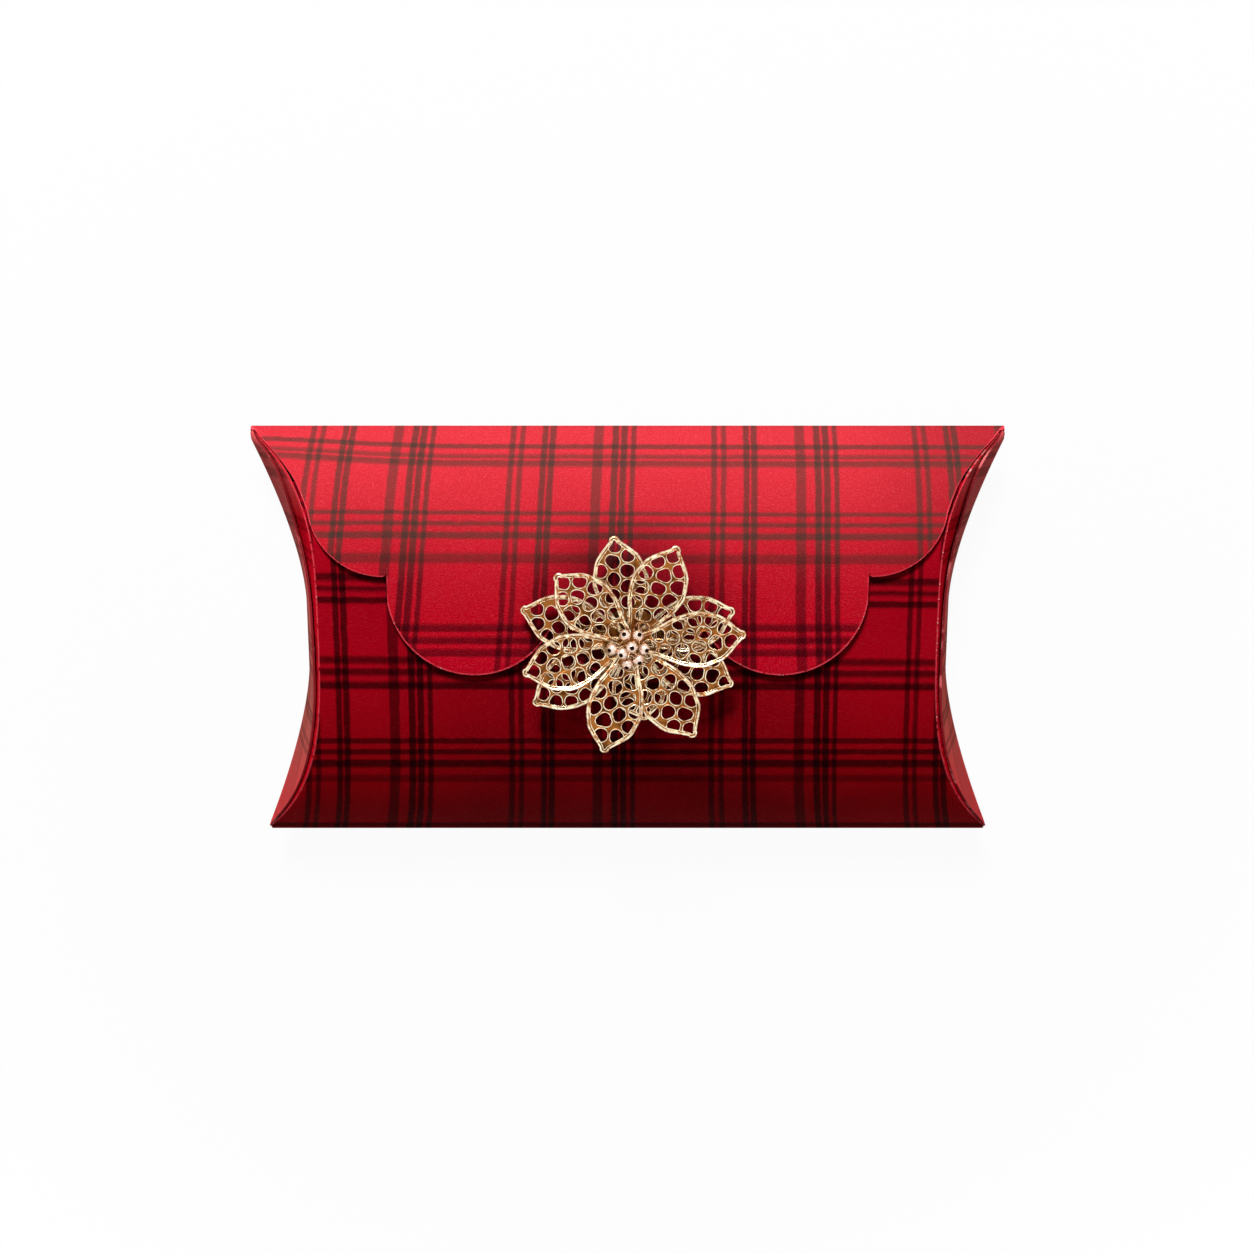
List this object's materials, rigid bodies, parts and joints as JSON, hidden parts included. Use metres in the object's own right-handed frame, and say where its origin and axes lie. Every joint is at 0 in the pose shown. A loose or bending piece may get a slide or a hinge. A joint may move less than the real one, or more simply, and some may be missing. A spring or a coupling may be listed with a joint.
{
  "type": "pillow box",
  "caption": "Pillow gift box of tartan board with curved end flaps and a hinged scalloped closure flap that carries a filigree metal flower.",
  "frame": {"origin": "middle of the flat strip on the back that the box rests on", "axes": "+X along the length of the box, +Y towards the top fold, +Z out of the front"},
  "size_m": [0.2, 0.111, 0.0464],
  "materials": {
    "tartan_board": "satin red tartan print",
    "loop_fabric": "napped",
    "hook_plastic": "matte",
    "glue_foam": "matte foam",
    "gilt_metal": "pale antique gold",
    "pearl_gold": "polished rose gold"
  },
  "bodies": {
    "box": {"back_panel": "tartan_board", "front_panel": "tartan_board", "left_inner_end_flap": "tartan_board", "right_inner_end_flap": "tartan_board", "panel_loop_dot": "loop_fabric"},
    "closure": {"closure_flap": "tartan_board", "flap_hook_dot": "hook_plastic", "flower_glue_pad": "glue_foam", "flower_base_disc": "gilt_metal", "flower_hub": "gilt_metal", "lower_petal_1": "gilt_metal", "lower_petal_2": "gilt_metal", "lower_petal_3": "gilt_metal", "lower_petal_4": "gilt_metal", "lower_petal_5": "gilt_metal", "lower_petal_6": "gilt_metal", "upper_petal_1": "gilt_metal", "upper_petal_2": "gilt_metal", "upper_petal_3": "gilt_metal", "upper_petal_4": "gilt_metal", "upper_petal_5": "gilt_metal", "upper_petal_6": "gilt_metal", "stamen_stems": "gilt_metal", "stamen_beads": "pearl_gold"},
    "left_end": {"left_outer_end_flap": "tartan_board"},
    "right_end": {"right_outer_end_flap": "tartan_board"}
  },
  "joints": [
    {"name": "closure_flap_hinge", "type": "hinge", "parent": "box", "child": "closure", "pos_m": [0, 0.0549, 0.0112], "axis": [-1, 0, 0], "range_deg": [0, 150]},
    {"name": "left_end_flap_hinge", "type": "hinge", "parent": "box", "child": "left_end", "pos_m": [-0.0891, 0, 0], "axis": [0, -1, 0], "range_deg": [0, 40]},
    {"name": "right_end_flap_hinge", "type": "hinge", "parent": "box", "child": "right_end", "pos_m": [0.0891, 0, 0], "axis": [0, 1, 0], "range_deg": [0, 40]}
  ]
}
